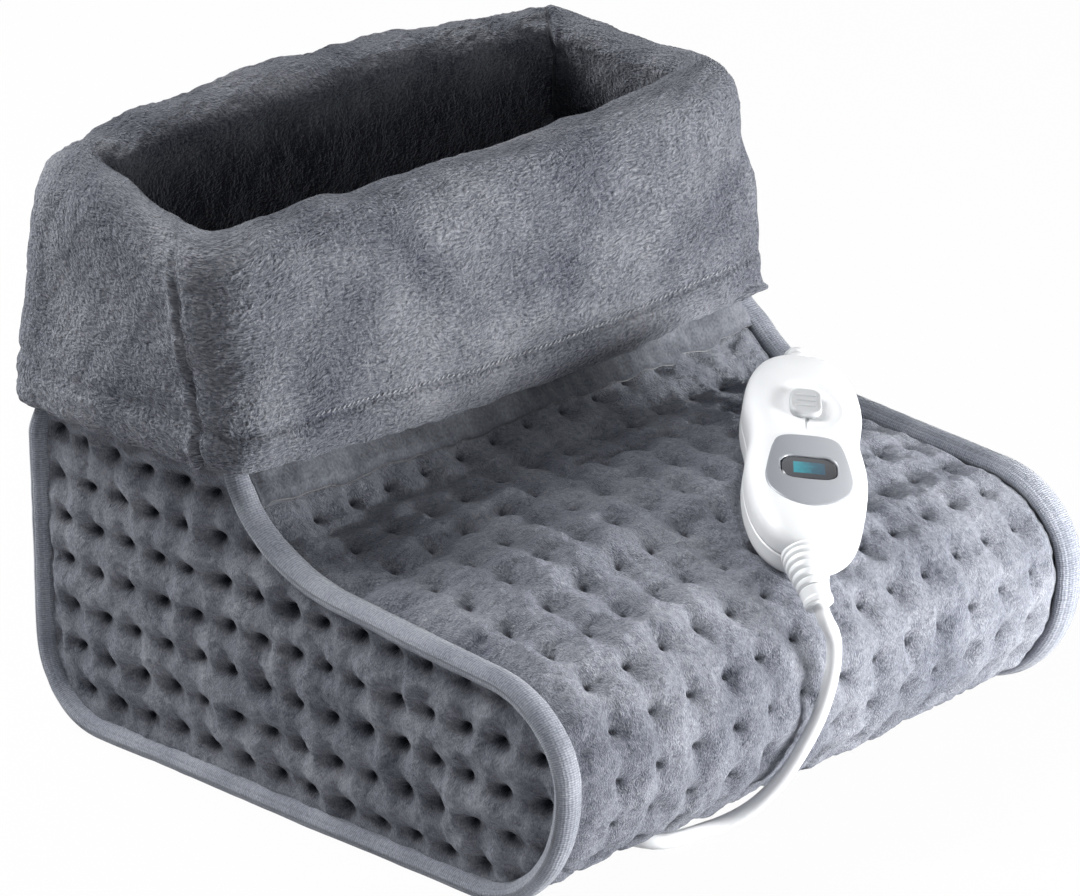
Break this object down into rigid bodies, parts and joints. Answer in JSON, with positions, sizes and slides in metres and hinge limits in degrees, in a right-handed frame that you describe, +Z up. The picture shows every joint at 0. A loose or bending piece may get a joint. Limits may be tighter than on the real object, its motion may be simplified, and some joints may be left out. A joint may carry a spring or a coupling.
{
  "type": "electric foot warmer",
  "caption": "Quilted plush boot for both feet with a turned-down collar, a heated sole and a hand controller with a slide switch on a short lead.",
  "frame": {"origin": "middle of the footprint on the surface that the sole stands on, in the middle of the boot's width and depth", "axes": "+X to the wearer's right hand as seen from the toe side with the toe towards the viewer, +Y from toe to heel, +Z up"},
  "size_m": [0.3346, 0.3314, 0.255],
  "materials": {
    "quilted_plush": "quilted short-pile plush, matt, blue-grey",
    "side_plush": "quilted short-pile plush, matt, blue-grey",
    "long_plush": "long-pile plush with a soft sheen",
    "lining_plush": "short-pile plush lining, matt",
    "smooth_fleece": "smooth light fleece",
    "knit_tape": "ribbed knit binding tape",
    "sole_cloth": "plain dark woven sole cloth",
    "foam": "soft open-cell foam",
    "heater_felt": "needled felt",
    "wire_sleeve": "smooth heating wire sleeve",
    "white_plastic": "white gloss moulding",
    "grey_plastic": "satin grey moulding",
    "silver_trim": "silver-grey lacquered trim",
    "display_window": "dark clear window",
    "dark_plastic": "dark inner moulding",
    "circuit_board": "green board",
    "screw_steel": "zinc-plated steel",
    "white_vinyl": "smooth white lead jacket",
    "gland_rubber": "matt black rubber"
  },
  "bodies": {
    "boot": {"upper_panel": "quilted_plush", "back_panel": "quilted_plush", "left_side_panel": "side_plush", "right_side_panel": "side_plush", "left_binding": "knit_tape", "right_binding": "knit_tape", "neck_band": "smooth_fleece", "collar": "long_plush", "upper_lining": "lining_plush", "heel_lining": "lining_plush", "left_lining": "lining_plush", "right_lining": "lining_plush", "sole_lining": "lining_plush", "sole_panel": "sole_cloth", "foam_pad": "foam", "heater_felt": "heater_felt", "heating_wire": "wire_sleeve", "inner_lead": "white_vinyl", "thermal_cutout": "dark_plastic", "cord_gland": "gland_rubber", "lead_cord": "white_vinyl", "front_shell": "white_plastic", "back_shell": "white_plastic", "display_bezel": "silver_trim", "display_window": "display_window", "display_module": "dark_plastic", "circuit_board": "circuit_board", "switch_body": "dark_plastic", "lower_strain_relief": "white_plastic", "upper_strain_relief": "white_plastic", "case_screw_1": "screw_steel", "case_screw_2": "screw_steel", "case_screw_3": "screw_steel", "case_screw_4": "screw_steel"},
    "button": {"slide_button": "grey_plastic"}
  },
  "joints": [
    {"name": "button_slide", "type": "slide", "parent": "boot", "child": "button", "axis": [-0.7149, -0.662, -0.225], "range_m": [0, 0.006]}
  ]
}
